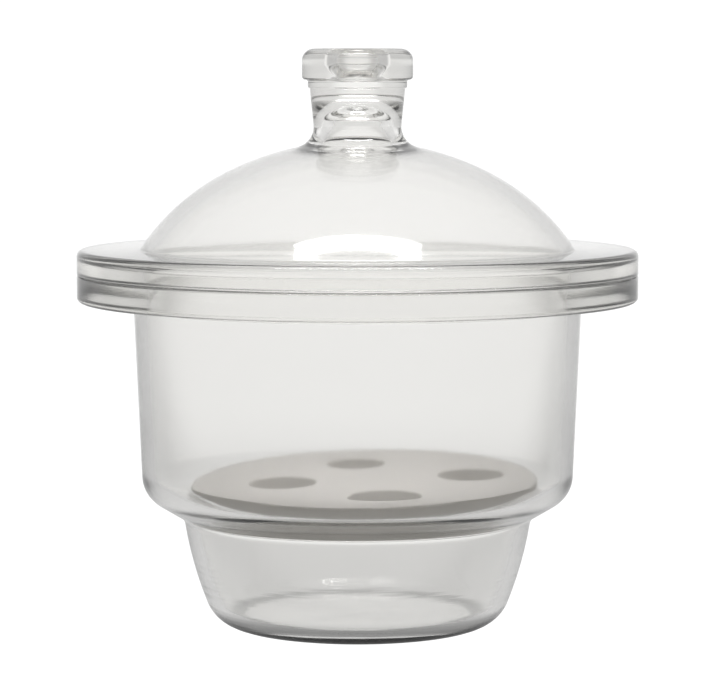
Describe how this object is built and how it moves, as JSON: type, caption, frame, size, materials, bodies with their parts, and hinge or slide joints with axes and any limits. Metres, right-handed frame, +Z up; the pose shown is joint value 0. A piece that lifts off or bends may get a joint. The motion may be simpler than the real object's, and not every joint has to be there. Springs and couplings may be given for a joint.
{
  "type": "glass desiccator",
  "caption": "Clear glass desiccator: flanged bowl with a narrower foot, perforated porcelain plate on its ledge, and a domed lid with a solid knob.",
  "frame": {"origin": "centre of the foot, on the surface it stands on", "axes": "+Z up along the common axis of base, plate and lid; +X to the right seen from the front; -Y towards the front"},
  "size_m": [0.217, 0.217, 0.224],
  "materials": {
    "base_glass": "fire-polished, ground on the flange face",
    "lid_glass": "fire-polished, ground on the flange face",
    "porcelain": "satin glaze on top, matt rim",
    "grease": "wet, translucent"
  },
  "bodies": {
    "base": {"base_vessel": "base_glass"},
    "plate": {"perforated_plate": "porcelain"},
    "grease": {"sealing_grease": "grease"},
    "lid": {"lid": "lid_glass"}
  },
  "joints": [
    {"name": "lid_slide", "type": "slide", "parent": "base", "child": "grease", "axis": [1, 0, 0], "range_m": [0, 0.1]},
    {"name": "lid_lift", "type": "slide", "parent": "grease", "child": "lid", "axis": [0, 0, 1], "range_m": [0, 0.15]},
    {"name": "plate_lift", "type": "slide", "parent": "base", "child": "plate", "axis": [0, 0, 1], "range_m": [0, 0.0745]}
  ]
}
